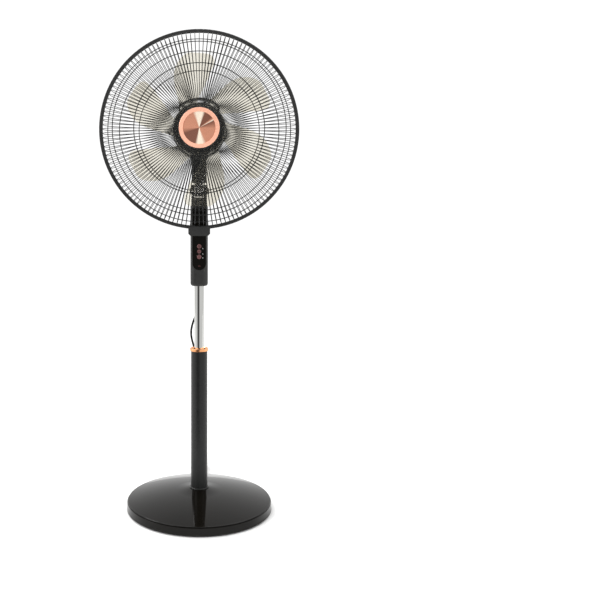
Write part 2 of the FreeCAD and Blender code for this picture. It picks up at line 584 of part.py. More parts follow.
def neck():
    """Neck that tilts between the ears, with the post that the head swings on."""
    high = size.tilt_high
    half = size.ear_inner - size.part_gap
    tongue_r = size.ear_r - 2
    tongue = Part.makeCylinder(tongue_r, 2 * half, V(-half, 0, high), RIGHT)
    stem = Part.makeBox(2 * half, 2 * tongue_r, size.neck_foot - high + 6, V(-half, -tongue_r, high))
    block_high = size.neck_top - size.neck_foot
    block_body = Part.makeBox(size.neck_wide, size.neck_deep, block_high,
                              V(-size.neck_wide / 2, -size.neck_deep / 2, size.neck_foot))
    uprights = [edge for edge in block_body.Edges if abs(edge.tangentAt(edge.FirstParameter).z) > 0.9]
    block_body = block_body.makeFillet(9, uprights)
    ends = [edge for edge in block_body.Edges if abs(edge.CenterOfMass.z - size.neck_foot) < 0.01]
    block_body = block_body.makeChamfer(3, ends)
    body = tongue.fuse(stem).fuse(block_body)
    body = body.cut(Part.makeCylinder(size.tilt_bolt_dia / 2 + size.running_fit, 80, V(-40, 0, high), RIGHT))
    body = body.cut(Part.makeCylinder(size.post_bore_dia / 2, 60, V(0, 0, size.neck_top - 40)))
    post_hole = Part.makeCylinder(size.post_dia / 2, 30, V(0, 0, size.neck_top - size.post_deep))
    pin_foot = V(size.link_pin_x, size.link_pin_y, size.neck_top - size.link_pin_deep)
    pin_hole = Part.makeCylinder(size.link_pin_dia / 2, 10, pin_foot)
    shaped("neck", body.cut(post_hole).cut(pin_hole))
    post = cylinder("post_dia / 2", "post_deep + post_high", z="neck_top - post_deep")
    bore = cylinder("post_bore_dia / 2", "post_deep + post_high", z="neck_top - post_deep")
    pin = cylinder("link_pin_dia / 2", "link_pin_deep + link_pin_high", "link_pin_x", "link_pin_y",
                   "neck_top - link_pin_deep")
    together("swing_post_and_pin", cut(post, bore), pin)


# ---- head: the motor ----

def ahead(radius, back, front, inner=0.0):
    """A round bar or ring on the motor's axis between two forward distances."""
    bar = Part.makeCylinder(radius, front - back, V(0, -back, size.motor_high), FORWARD)
    if inner:
        bar = bar.cut(Part.makeCylinder(inner, front - back, V(0, -back, size.motor_high), FORWARD))
    return bar


def motor_skin(inset):
    """The motor housing's outer shape, or the same moved in by a wall."""
    radius = size.motor_dia / 2 - inset
    high = size.motor_high
    front = size.motor_front - inset
    back = size.motor_back + inset
    shoulder = back + 34
    barrel = Part.Wire([
        Part.makeLine(V(0, -front, high), V(radius - 5, -front, high)),
        Part.Arc(V(radius - 5, -front, high), V(radius - 1.5, -front + 1.5, high),
                 V(radius, -front + 5, high)).toShape(),
        Part.makeLine(V(radius, -front + 5, high), V(radius, -shoulder, high)),
        Part.Arc(V(radius, -shoulder, high), V(radius - 5.5, -shoulder + 20, high),
                 V(size.motor_back_r - inset, -back, high)).toShape(),
        Part.makeLine(V(size.motor_back_r - inset, -back, high), V(0, -back, high)),
        Part.makeLine(V(0, -back, high), V(0, -front, high))])
    turned_skin = Part.Face(barrel).revolve(V(0, 0, high), V(0, 1, 0), 360)
    half = size.cover_foot_wide / 2 - inset
    lean = math.radians(33)
    side = V(radius * math.cos(lean), 0, high - radius * math.sin(lean))
    foot = size.cover_foot - (20 if inset else 0)
    drop = [V(-half, 0, foot), V(half, 0, foot), V(half, 0, size.cover_foot + 3), side,
            V(-side.x, 0, side.z), V(-half, 0, size.cover_foot + 3), V(-half, 0, foot)]
    wedge = Part.Face(Part.makePolygon(drop)).extrude(V(0, front - 3 - size.cover_foot_back - inset, 0))
    wedge.translate(V(0, -front + 3, 0))
    return turned_skin.fuse(wedge)


def motor():
    """Covers, frame, stator, bearings and the swing gearmotor."""
    high = size.motor_high
    wall = size.cover_wall
    shell = motor_skin(0).cut(motor_skin(wall))
    nose_r = size.motor_nose_r
    split_front = Part.makeBox(300, 200, 400, V(-150, -200 - size.motor_split, high - 200))
    split_rear = Part.makeBox(300, 200, 400, V(-150, -size.motor_split, high - 200))
    front_cover = shell.common(split_front).cut(ahead(nose_r + 0.1, 0, 60))
    shaped("motor_cover_front", front_cover)
    rear_cover = shell.common(split_rear)
    vent = Part.makeBox(3, 8, 20, V(-1.5, -size.motor_back - 5, high + 16))
    for tool in around(vent, 20, V(0, 0, high), FORWARD):
        rear_cover = rear_cover.cut(tool)
    side_vent = Part.makeBox(2.4, 22, 8, V(-1.2, 12, high + size.motor_dia / 2 - 5))
    for turn in (28, 36, 44, 52, 60, 68, 76, 84):
        for way in (1, -1):
            tool = side_vent.copy()
            tool.rotate(V(0, 0, high), FORWARD, way * (turn + 18))
            rear_cover = rear_cover.cut(tool)
    shaped("motor_cover_rear", rear_cover)

    bracket_front = size.front_bracket_front
    bearing_r = size.bearing_dia / 2
    bearing_long = size.bearing_long
    thick = size.bracket_thick
    plate = ahead(size.bracket_dia / 2, bracket_front - thick, bracket_front)
    for tool in around(ahead(7, 0, 60), 6, V(0, 0, high), FORWARD, 30):
        plate = plate.cut(tool)
    nose = ahead(nose_r, bracket_front, size.motor_front + size.motor_nose_long)
    seat = ahead(bearing_r + 3, bracket_front - thick - bearing_long, bracket_front)
    frame = plate.fuse(nose).fuse(seat)
    frame = frame.cut(ahead(bearing_r + size.seat_fit, bracket_front - thick - bearing_long - 1, bracket_front - 2))
    frame = frame.cut(ahead(6, 0, 80))
    boss_foot = size.neck_top + 3
    boss = Part.makeCylinder(size.boss_r, size.boss_high, V(0, 0, boss_foot))
    arm = Part.makeBox(16, bracket_front - 2, 12, V(-8, -bracket_front + 2, boss_foot + 2))
    foot_plate = Part.makeBox(16, thick, 40, V(-8, -bracket_front, boss_foot + 2))
    frame = frame.fuse(boss).fuse(arm).fuse(foot_plate)
    post_r = size.post_dia / 2 + size.running_fit
    frame = frame.cut(Part.makeCylinder(post_r, 60, V(0, 0, boss_foot - 20)))
    shaped("motor_frame", frame)

    rear = size.rear_bracket_front
    rear_plate = ahead(46, rear - thick, rear).fuse(ahead(bearing_r + 3, rear - thick - 4, rear))
    rear_plate = rear_plate.cut(ahead(bearing_r + size.seat_fit, rear - bearing_long + 0.5, rear + 1))
    rear_plate = rear_plate.cut(ahead(6, rear - 40, rear + 1))
    gear_top = size.gearmotor_foot + size.gearmotor_long
    ledge = Part.makeBox(34, 34, 3, V(-9, -rear, gear_top))
    below = Part.makeBox(120, 20, 60, V(-60, -rear - 8, gear_top - 60))
    shaped("rear_bracket", rear_plate.cut(below).fuse(ledge))

    stator_back = "stator_front - stator_long"
    keep(washer("stator_core", "rotor_core_dia / 2 + air_gap", "stator_dia / 2", stator_back, "stator_front"),
         "stator_core")
    together("stator_coils", coil("front_coil", "stator_front"), coil("rear_coil", stator_back + " - coil_long"))
    inner = "shaft_dia / 2 + running_fit"
    seat_front = "front_bracket_front - bracket_thick"
    seat_rear = "rear_bracket_front - 0.5"
    together("motor_bearings",
             washer("front_bearing", inner, "bearing_dia / 2", seat_front + " - bearing_long", seat_front),
             washer("rear_bearing", inner, "bearing_dia / 2", seat_rear + " - bearing_long + 1", seat_rear))
    ring_r = "(stator_dia / 2 - pillar_inset)"
    pillars = [cylinder("pillar_dia / 2", "stator_front - stator_long - rear_bracket_front - part_gap",
                        "%.6f * %s" % (math.cos(math.radians(turn)), ring_r), "stator_long - stator_front",
                        "motor_high + %.6f * %s" % (math.sin(math.radians(turn)), ring_r), FORWARD * -1)
               for turn in (45, 135, 225, 315)]
    together("stator_pillars", *pillars)
    place = ("gearmotor_side", "gearmotor_back")
    gear = cylinder("gearmotor_dia / 2", "gearmotor_long", *place, "gearmotor_foot")
    pinion = cylinder("gearmotor_shaft_dia / 2", "crank_thick + gearmotor_lift", *place, "crank_level")
    keep(fuse(gear, pinion), "swing_gearmotor")


def coil(name, back):
    """One end winding: a ring with rounded outer edges."""
    outer = "coil_dia / 2"
    front = back + " + coil_long"
    return turned(name, [
        ("coil_hole_dia / 2", back), (outer + " - coil_round", back),
        (outer + " - 0.3 * coil_round", back + " + 0.3 * coil_round", "mid"), (outer, back + " + coil_round"),
        (outer, front + " - coil_round"),
        (outer + " - 0.3 * coil_round", front + " - 0.3 * coil_round", "mid"), (outer + " - coil_round", front),
        ("coil_hole_dia / 2", front)], True, "motor_high")


def linkage():
    """Crank on the gearmotor's shaft, and the link that reaches for the neck's pin."""
    level = size.crank_level
    centre = V(size.gearmotor_side, size.gearmotor_back, 0)
    post = V(size.link_pin_x, size.link_pin_y, 0)
    rest = math.radians(size.crank_rest)
    pin = centre + V(math.cos(rest), math.sin(rest), 0) * size.crank_arm
    thick = size.crank_thick
    disc = Part.makeCylinder(size.crank_arm + 3.5, thick, centre + V(0, 0, level))
    bore_r = size.gearmotor_shaft_dia / 2 + size.running_fit
    disc = disc.cut(Part.makeCylinder(bore_r, thick, centre + V(0, 0, level)))
    link_top = level - size.part_gap
    stub = Part.makeCylinder(size.crank_pin_dia / 2, thick + size.link_thick + 1.6,
                             pin + V(0, 0, link_top - size.link_thick - 0.6))
    shaped("swing_crank", disc.fuse(stub))
    span = (post - pin).Length
    half = size.link_wide / 2
    bar = Part.makeBox(span, size.link_wide, size.link_thick, V(0, -size.link_wide / 2, 0))
    bar = bar.fuse(Part.makeCylinder(half + 1.5, size.link_thick)).fuse(
        Part.makeCylinder(half, size.link_thick, V(span, 0, 0)))
    bar = bar.cut(Part.makeCylinder(size.crank_pin_dia / 2 + size.running_fit, 10, V(0, 0, -1)))
    turn = math.degrees(math.atan2(post.y - pin.y, post.x - pin.x))
    bar.Placement = FreeCAD.Placement(pin + V(0, 0, link_top - size.link_thick), FreeCAD.Rotation(UP, turn))
    shaped("swing_link", bar)
    print("crank pin at", round(pin.x, 3), round(pin.y, 3), "link length", round(span, 2))


def handle():
    """Carry handle over the motor housing."""
    half = size.handle_wide / 2
    band = size.handle_band
    top = size.handle_top
    shoulder = size.handle_shoulder
    radius = size.motor_dia / 2
    foot = size.motor_high + math.sqrt(radius ** 2 - (half - band / 2) ** 2) - 3
    knee = shoulder - 4
    low = shoulder - band
    outline = Part.Wire([
        Part.makeLine(V(-half, 0, foot), V(-half, 0, knee)),
        Part.Arc(V(-half, 0, knee), V(1.2 - half, 0, shoulder - 1.2), V(4 - half, 0, shoulder)).toShape(),
        Part.Arc(V(-half + 4, 0, shoulder), V(0, 0, top), V(half - 4, 0, shoulder)).toShape(),
        Part.Arc(V(half - 4, 0, shoulder), V(half - 1.2, 0, shoulder - 1.2), V(half, 0, knee)).toShape(),
        Part.makeLine(V(half, 0, knee), V(half, 0, foot)),
        Part.makeLine(V(half, 0, foot), V(half - band, 0, foot)),
        Part.makeLine(V(half - band, 0, foot), V(half - band, 0, low)),
        Part.Arc(V(half - band, 0, low), V(0, 0, top - band), V(band - half, 0, low)).toShape(),
        Part.makeLine(V(band - half, 0, low), V(band - half, 0, foot)),
        Part.makeLine(V(band - half, 0, foot), V(-half, 0, foot))])
    band_body = Part.Face(outline).extrude(V(0, size.handle_deep, 0))
    band_body.translate(V(0, -size.handle_forward, 0))
    shaped("carry_handle", band_body.cut(ahead(radius + 0.02, -100, 60)))


# ---- rotor ----

def rotor():
    """Shaft, rotor core, six-bladed impeller and the nut that holds it."""
    high = size.motor_high
    shaft_r = size.shaft_dia / 2
    keep(washer("motor_shaft", "0", "shaft_dia / 2", "shaft_back", "shaft_front"), "motor_shaft")
    keep(washer("rotor_core", "shaft_dia / 2 + seat_fit", "rotor_core_dia / 2", "stator_front - stator_long",
                "stator_front"), "rotor_core")

    hub = ahead(size.hub_r, size.hub_back, size.hub_front)
    rim = [edge for edge in hub.Edges if abs(edge.CenterOfMass.y + size.hub_front) < 0.01]
    hub = hub.makeFillet(6, rim)
    hub = hub.cut(ahead(size.hub_r - size.hub_wall, size.hub_back, size.hub_front - size.hub_wall))
    hub = hub.fuse(ahead(size.hub_boss_r, size.hub_back + 10, size.hub_front))
    inside = ahead(size.hub_r - 1, size.hub_back - 20, size.hub_front + 20)
    blade = impeller_blade().cut(inside)
    blades = around(blade, int(size.blade_count), V(0, 0, high), FORWARD)
    impeller = hub.multiFuse(blades).cut(ahead(shaft_r + size.seat_fit, 0, 200))
    shaped("fan_blades", impeller)
    front = "hub_front + blade_nut_long"
    nut = turned("blade_nut", [
        ("shaft_dia / 2 + seat_fit", "hub_front"), ("blade_nut_dia / 2", "hub_front"),
        ("blade_nut_dia / 2", front + " - 1"), ("blade_nut_dia / 2 - 0.3", front + " - 0.3", "mid"),
        ("blade_nut_dia / 2 - 1", front), ("shaft_dia / 2 + seat_fit", front)], True, "motor_high")
    keep(nut, "blade_nut")


def impeller_blade():
    """One blade, lofted through flat sections along its length.

    Each section is (share of the tip radius, left edge, right edge, front edge forward, back edge forward,
    camber), its edges as shares of the tip radius across the blade.
    """
    tip = size.blade_tip_r
    stations = [(0.2, -0.23, -0.05, 90, 62, 2), (0.29, -0.25, -0.04, 92, 60, 3),
                (0.39, -0.272, -0.02, 93, 58, 4), (0.56, -0.31, 0.065, 93, 55, 6),
                (0.73, -0.315, 0.14, 91, 55, 6), (0.84, -0.275, 0.185, 88, 58, 5),
                (0.927, -0.21, 0.185, 85, 61, 3), (0.978, -0.125, 0.1, 81, 65, 2)]
    half = size.blade_thick / 2
    wires = []
    for share, left, right, front, back, camber in stations:
        sides = []
        for offset in (half, -half):
            points = []
            for step in range(7):
                part = step / 6.0
                taper = math.sin(math.pi * (0.12 + 0.76 * part))
                forward = front + (back - front) * part + camber * 4 * part * (1 - part) + offset * taper
                points.append(V((left + (right - left) * part) * tip, -forward, share * tip))
            curve = Part.BSplineCurve()
            curve.interpolate(points)
            sides.append(curve)
        top, bottom = sides
        ends = [Part.makeLine(top.EndPoint, bottom.EndPoint), Part.makeLine(bottom.StartPoint, top.StartPoint)]
        wires.append(Part.Wire([top.toShape(), ends[0], bottom.toShape(), ends[1]]))
    blade = Part.makeLoft(wires, True, False)
    blade.rotate(ORIGIN, V(0, 1, 0), 360 / size.blade_count)
    blade.translate(V(0, 0, size.motor_high))
    return blade


# ---- guards ----

def wire_set(points_forward, bend):
    """Radial guard wires: out along a straight, round an arc, and back along the rim."""
    high = size.motor_high
    spots = [V(0, -forward, high + radius) for radius, forward in points_forward]
    middle = V(0, -bend[1], high + bend[0])
    path = Part.Wire([Part.makeLine(spots[0], spots[1]), Part.Arc(spots[1], middle, spots[2]).toShape(),
                      Part.makeLine(spots[2], spots[3])])
    first = spots[1] - spots[0]
    section = Part.Wire([Part.makeCircle(size.wire_dia / 2, spots[0], first)])
    wire = path.makePipeShell([section], True, False)
    return many(around(wire, int(size.wire_count), V(0, 0, high), FORWARD))


def hoop(radius, forward, thick):
    """A ring of round wire about the motor's axis."""
    return Part.makeTorus(radius, thick / 2, V(0, -forward, size.motor_high), FORWARD)


def level_at(radius, root_r, root, shoulder_r, shoulder):
    """Forward distance of the straight part of a guard wire at a radius."""
    return root + (shoulder - root) * (radius - root_r) / (shoulder_r - root_r)


def ring_on_bend(radius, first, middle, last, inset):
    """Centre of a ring that lies inside the bent part of a wire: its radius and forward distance."""
    arc = Part.Arc(V(first[0], first[1], 0), V(middle[0], middle[1], 0), V(last[0], last[1], 0)).toShape().Curve
    side = math.copysign(1, middle[1] - arc.Center.y)
    forward = arc.Center.y + side * math.sqrt(arc.Radius ** 2 - (radius - arc.Center.x) ** 2)
    share = (arc.Radius - inset) / arc.Radius
    return (arc.Center.x + (radius - arc.Center.x) * share, arc.Center.y + (forward - arc.Center.y) * share)


def front_guard():
    """Front wires and rings, the boss in the middle, and the copper badge."""
    end_r = size.wire_end_r
    root = (size.front_wire_root_r, size.front_wire_root)
    shoulder = (size.front_shoulder_r, size.front_shoulder)
    bend = (end_r - 10.2, size.front_shoulder - 6.6)
    shaped("front_guard_wires", wire_set([root, shoulder, (end_r, size.front_rim + 8), (end_r, size.front_rim)],
                                         bend))
    behind = (size.wire_dia + size.guard_ring_dia) / 2 - 0.1
    inner = level_at(size.front_inner_ring_r, *root, *shoulder) - behind
    outer = ring_on_bend(size.front_outer_ring_r, shoulder, bend, (end_r, size.front_rim + 8), behind)
    shaped("front_guard_rings", many([hoop(size.front_inner_ring_r, inner, size.guard_ring_dia),
                                      hoop(*outer, size.guard_ring_dia),
                                      hoop(size.rim_r, size.front_rim, size.rim_wire_dia)]))
    seat = "badge_dia / 2 + loose_fit"
    floor = "front_boss_back + front_plate_thick"
    boss = turned("front_guard_boss", [
        ("0", "front_boss_back"), ("front_boss_r", "front_boss_back"), ("front_boss_r", "front_boss_front - 1"),
        ("front_boss_r - 0.3", "front_boss_front - 0.3", "mid"), ("front_boss_r - 1", "front_boss_front"),
        (seat, "front_boss_front"), (seat, floor), ("0", floor)], True, "motor_high")
    keep(boss, "front_guard_boss")
    ring = turned("badge_ring", [
        ("badge_face_dia / 2 + seat_fit", floor),
        ("badge_dia / 2", floor),
        ("badge_dia / 2", "badge_front - 1.4"),
        ("badge_dia / 2 - 0.45", "badge_front - 0.35", "mid"),
        ("badge_dia / 2 - 1.6", "badge_front"),
        ("badge_face_dia / 2 + 0.6", "badge_front - 0.3"),
        ("badge_face_dia / 2 + seat_fit", "badge_front - 1")], True, "motor_high")
    keep(ring, "badge_ring")
    face = turned("badge_face", [
        ("0", floor),
        ("badge_face_dia / 2", floor),
        ("badge_face_dia / 2", "badge_front - badge_lip - 0.4"),
        ("0", "badge_front - badge_lip - badge_cone")], True, "motor_high")
    keep(face, "badge_face")


def rear_guard():
    """Rear wires and rings, the plate on the motor's nose, and the ring nut that holds it."""
    end_r = size.wire_end_r
    root = (size.rear_wire_root_r, size.rear_wire_root)
    shoulder = (size.rear_shoulder_r, size.rear_shoulder)
    bend = (end_r - 9, size.rear_shoulder + 9.4)
    shaped("rear_guard_wires", wire_set([root, shoulder, (end_r, size.rear_rim - 12), (end_r, size.rear_rim)],
                                        bend))
    ahead_by = (size.wire_dia + size.guard_ring_dia) / 2 - 0.1
    inner = level_at(size.rear_inner_ring_r, *root, *shoulder) + ahead_by
    middle = level_at(size.rear_middle_ring_r, *root, *shoulder) + ahead_by
    thick = size.guard_ring_dia
    outer = ring_on_bend(size.rear_outer_ring_r, shoulder, bend, (end_r, size.rear_rim - 12), ahead_by)
    shaped("rear_guard_rings", many([hoop(size.rear_inner_ring_r, inner, thick),
                                     hoop(size.rear_middle_ring_r, middle, thick), hoop(*outer, thick),
                                     hoop(size.rim_r, size.rear_rim, size.rim_wire_dia)]))
    bore = "motor_nose_r + loose_fit"
    plate = turned("rear_guard_plate", [
        (bore, "motor_front"), ("rear_plate_r", "motor_front"), ("rear_plate_r", "motor_front + rear_lip_high"),
        ("rear_plate_r - rear_lip_wide", "motor_front + rear_lip_high"),
        ("rear_plate_r - rear_lip_wide", "motor_front + rear_plate_thick"),
        (bore, "motor_front + rear_plate_thick")], True, "motor_high")
    keep(plate, "rear_guard_plate")
    nut_back = size.motor_front + size.rear_plate_thick
    nut = ahead(size.guard_nut_dia / 2, nut_back, nut_back + size.guard_nut_long,
                size.motor_nose_r + size.loose_fit)
    grip = Part.makeCylinder(size.guard_grip_dia / 2, size.guard_nut_long,
                             V(0, -nut_back, size.motor_high + size.guard_nut_dia / 2), FORWARD)
    for tool in around(grip, int(size.guard_grip_count), V(0, 0, size.motor_high), FORWARD):
        nut = nut.cut(tool)
    shaped("guard_nut", nut)


def guard_rim():
    """Trim ring over both rim wires, the clip that holds it and the clip's screw."""
    outer = size.trim_dia / 2
    front = size.trim_front
    back = size.trim_back
    rim = "trim_dia / 2"
    ring = turned("guard_trim_ring", [
        ("trim_hole_r", "trim_back"), (rim + " - trim_round", "trim_back"),
        (rim + " - 0.3 * trim_round", "trim_back + 0.3 * trim_round", "mid"), (rim, "trim_back + trim_round"),
        (rim, "trim_front - trim_round"),
        (rim + " - 0.3 * trim_round", "trim_front - 0.3 * trim_round", "mid"),
        (rim + " - trim_round", "trim_front"), ("trim_hole_r", "trim_front"),
        ("trim_hole_r", "trim_front - trim_lip"), ("trim_channel_r", "trim_front - trim_lip"),
        ("trim_channel_r", "trim_back + trim_lip"), ("trim_hole_r", "trim_back + trim_lip")], True, "motor_high")
    keep(ring, "guard_trim_ring")
    wide = size.clip_wide
    clip = Part.makeBox(wide, size.clip_front - size.clip_back, size.clip_top - size.clip_foot,
                        V(-wide / 2, -size.clip_front, size.clip_foot))
    low = [edge for edge in clip.Edges if abs(edge.CenterOfMass.z - size.clip_foot) < 0.01
           and abs(abs(edge.CenterOfMass.x) - wide / 2) < 0.01]
    clip = clip.makeChamfer(5, low)
    clip = clip.cut(ahead(outer + 0.05, -100, 200))
    sunk = V(0, 0, size.screw_head_high + 0.6)
    foot = V(0, -(size.clip_front + size.clip_back) / 2, size.clip_foot)
    clip = clip.cut(Part.makeCylinder(size.screw_head_dia / 2 + size.screw_play, sunk.z, foot))
    clip = clip.cut(Part.makeCylinder(size.screw_dia / 2 + size.seat_fit, size.clip_screw_long + 0.5, foot + sunk))
    upper_front = ahead(outer + 0.05, front, size.clip_front, size.trim_hole_r + 1)
    upper_back = ahead(outer + 0.05, size.clip_back, back, size.trim_hole_r + 1)
    window = Part.makeBox(wide, 60, 40, V(-wide / 2, -size.clip_front - 10, size.clip_foot - 5))
    clip = clip.fuse(upper_front.common(window)).fuse(upper_back.common(window))
    shaped("guard_clip", clip)
    shaped("guard_clip_screw", screws([foot + sunk], V(0, 0, -1), size.clip_screw_long))


# ---- cord ----

CORD_ROUTE = [
    (0, 28, 509.5), (0, 28.5, 486), (-3, 29, 458), (-16, 29, 431), (-21, 29, 402), (-11, 28.5, 368), (-4, 28, 330),
    (-6, 28, 284), (-3, 29, 232), (-5, 30, 178), (-2, 33, 130), (-1, 42, 92), (-2, 62, 62), (0, 92, 45.5),
    (-2, 122, 38.5), (-5, 152, 34), (-8, 180, 31.5), (-12, 199, 29.7), (-15, 213, 28.8)]
TAIL_ROUTE = [(-14.5, 297, 2.8), (-11, 308, 3.2), (-4, 319, 4.8), (0, 329, 6)]


def cord_path(route):
    """Straight runs joined by the largest tangent arcs that they allow, and the arcs' radii."""
    spots = [V(*point) for point in route]
    edges = []
    radii = []
    start = spots[0]
    for before, corner, after in zip(spots, spots[1:], spots[2:]):
        inward = (before - corner).normalize()
        outward = (after - corner).normalize()
        turn = math.pi - inward.getAngle(outward)
        reach = 0.45 * min((before - corner).Length, (after - corner).Length)
        radius = reach / math.tan(turn / 2)
        radii.append(round(radius, 1))
        first = corner + inward * reach
        last = corner + outward * reach
        bisector = (inward + outward).normalize()
        middle = corner + bisector * (radius / math.cos(turn / 2) - radius)
        edges.append(Part.LineSegment(start, first).toShape())
        edges.append(Part.Arc(first, middle, last).toShape())
        start = last
    edges.append(Part.LineSegment(start, spots[-1]).toShape())
    return Part.Wire(edges), radii


def cord():
    """Mains cord down behind the pole, its tied hank on the floor and the plug."""
    radius = size.cord_dia / 2
    lengths = []
    for route in (CORD_ROUTE, TAIL_ROUTE):
        path, radii = cord_path(route)
        start = V(*route[0])
        section = Part.Wire([Part.makeCircle(radius, start, V(*route[1]) - start)])
        lengths.append(path.makePipeShell([section], True, False))
        expected = math.pi * radius ** 2 * path.Length
        print("cord radii", radii)
        print("cord length", round(path.Length, 1), "volume ratio", round(lengths[-1].Volume / expected, 4))
    shaped("mains_cord", many(lengths))

    near = size.hank_near
    long = size.hank_long
    end_r = size.hank_wide / 2
    waist = size.hank_waist / 2
    ends = [Part.makeCylinder(end_r, size.hank_high, V(0, near + end_r, 0)),
            Part.makeCylinder(end_r, size.hank_high, V(0, near + long - end_r, 0))]
    middle = Part.makeBox(2 * waist, long - 2 * end_r, size.hank_high, V(-waist, near + end_r, 0))
    hank = ends[0].fuse(ends[1]).fuse(middle).removeSplitter()
    tie_long = size.tie_long
    tie_near = near + (long - tie_long) / 2
    inside = size.tie_thick
    groove = Part.makeBox(4 * waist, tie_long, 2 * size.hank_high, V(-2 * waist, tie_near, -10))
    groove = groove.cut(Part.makeBox(2 * (waist - inside), tie_long, size.hank_high - 2 * inside,
                                     V(inside - waist, tie_near, inside)))
    shaped("cord_hank", hank.cut(groove))
    tie = block("hank_waist + tie_thick", "tie_long - 0.2", "hank_high + 0.4 * tie_thick",
                "-(hank_waist + tie_thick) / 2", "hank_near + (hank_long - tie_long) / 2 + 0.1", "0")
    inside = block("hank_waist - 2 * tie_thick", "tie_long", "hank_high - 2 * tie_thick",
                   "tie_thick - hank_waist / 2", "hank_near + (hank_long - tie_long) / 2", "tie_thick")
    keep(cut(tie, inside), "cord_tie")
    plug_near = size.plug_near
    plug = Part.makeBox(size.plug_wide, size.plug_long, size.plug_high, V(-size.plug_wide / 2, plug_near, 0))
    plug = plug.makeFillet(3, [edge for edge in plug.Edges if abs(edge.tangentAt(edge.FirstParameter).y) > 0.9])
    for side in (-1, 1):
        spot = V(side * size.pin_gap / 2, plug_near + size.plug_long - size.pin_deep, size.plug_high / 2)
        plug = plug.cut(Part.makeCylinder(size.pin_dia / 2, 10, spot, V(0, 1, 0)))
    shaped("plug", plug)
    pins = [cylinder("pin_dia / 2", "pin_deep + pin_long", side + "pin_gap / 2", "plug_near + plug_long - pin_deep",
                     "plug_high / 2", FORWARD * -1) for side in ("-", "")]
    together("plug_pins", *pins)


base()
height_clamp()
column()
yoke()
neck()
motor()
linkage()
handle()
rotor()
front_guard()
rear_guard()
guard_rim()
cord()

doc.recompute()
for item in doc.Objects:
    if "Invalid" in item.State or "Error" in item.State:
        raise RuntimeError(item.Label + " failed to build")
for node in nodes:
    if node.Shape.isNull() or not node.Shape.isValid():
        raise RuntimeError(node.Label + " has no sound shape")

os.makedirs("parts", exist_ok=True)
for node in nodes:
    node.Shape.exportStep("parts/" + node.Label + ".step")
print(len(nodes), "sub-parts")
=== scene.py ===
import bpy
import bmesh
import json
import math
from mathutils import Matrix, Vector


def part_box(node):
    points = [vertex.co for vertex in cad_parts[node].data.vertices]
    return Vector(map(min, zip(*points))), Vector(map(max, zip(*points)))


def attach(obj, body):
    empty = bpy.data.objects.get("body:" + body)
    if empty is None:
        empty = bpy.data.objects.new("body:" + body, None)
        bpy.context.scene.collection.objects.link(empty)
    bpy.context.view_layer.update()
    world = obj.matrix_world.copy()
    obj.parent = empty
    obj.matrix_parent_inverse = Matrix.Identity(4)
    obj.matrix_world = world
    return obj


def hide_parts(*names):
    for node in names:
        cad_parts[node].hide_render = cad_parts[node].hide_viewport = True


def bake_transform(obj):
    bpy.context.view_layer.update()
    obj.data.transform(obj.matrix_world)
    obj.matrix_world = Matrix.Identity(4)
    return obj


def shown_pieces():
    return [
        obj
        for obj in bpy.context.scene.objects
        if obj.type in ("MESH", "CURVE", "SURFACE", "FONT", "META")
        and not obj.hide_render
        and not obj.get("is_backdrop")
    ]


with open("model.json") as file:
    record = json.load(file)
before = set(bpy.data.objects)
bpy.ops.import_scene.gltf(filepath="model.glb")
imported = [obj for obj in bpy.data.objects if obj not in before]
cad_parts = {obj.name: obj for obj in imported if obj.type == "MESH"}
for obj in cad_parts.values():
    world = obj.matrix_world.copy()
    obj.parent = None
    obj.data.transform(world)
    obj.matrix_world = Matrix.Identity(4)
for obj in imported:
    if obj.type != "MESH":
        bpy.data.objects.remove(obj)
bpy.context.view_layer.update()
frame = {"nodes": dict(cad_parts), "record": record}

# ---- measures from the frame ----

MM = 0.001
SLOT_OF = {item["node"]: item["material_slot"] for item in frame["record"]["subparts"]}


def corners(node):
    """Lowest and highest corner of a CAD node as vectors."""
    low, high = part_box(node)
    return Vector(low), Vector(high)


def add_object(name, data):
    """A new object in the scene."""
    thing = bpy.data.objects.new(name, data)
    bpy.context.scene.collection.objects.link(thing)
    return thing


# ---- camera ----

camera_data = bpy.data.cameras.new("camera")
camera = add_object("camera", camera_data)
camera.location = (0.0, -1.930, 0.7476)
camera.rotation_euler = (math.radians(90), 0, 0)
camera_data.sensor_width = 36
camera_data.lens = 49.1
camera_data.shift_x = 0.168
camera_data.shift_y = -0.183
bpy.context.scene.camera = camera


# ---- mesh helpers ----

def take_mesh(name, made):
    """Turns a finished bmesh into a mesh."""
    mesh = bpy.data.meshes.new(name)
    made.to_mesh(mesh)
    made.free()
    return mesh


def add_mesh(name, mesh, slot, body=None, smooth=True):
    """A new piece from a mesh, in its finish's slot, riding on a body."""
    piece = add_object(name, mesh)
    for face in mesh.polygons:
        face.use_smooth = smooth
    SLOT_OF[name] = slot
    if body:
        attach(piece, body)
    return piece


def skin(made, rings):
    """Faces between each ring of points and the next."""
    for first, second in zip(rings, rings[1:]):
        for step in range(len(first)):
            after = (step + 1) % len(first)
            made.faces.new((first[step], first[after], second[after], second[step]))


def tube_mesh(name, path, radii, sides):
    """A round tube along a line of points, one radius for each point, with flat ends."""
    made = bmesh.new()
    rings = []
    side = None
    for index, (point, radius) in enumerate(zip(path, radii)):
        before = path[max(index - 1, 0)]
        after = path[min(index + 1, len(path) - 1)]
        along = (after - before).normalized()
        if side is None:
            side = along.orthogonal().normalized()
        side = (side - along * side.dot(along)).normalized()
        across = along.cross(side)
        ring = []
        for step in range(sides):
            turn = 2 * math.pi * step / sides
            spot = point + side * radius * math.cos(turn) + across * radius * math.sin(turn)
            ring.append(made.verts.new(spot))
        rings.append(ring)
    skin(made, rings)
    made.faces.new(list(reversed(rings[0])))
    made.faces.new(rings[-1])
    bmesh.ops.recalc_face_normals(made, faces=made.faces)
    return take_mesh(name, made)


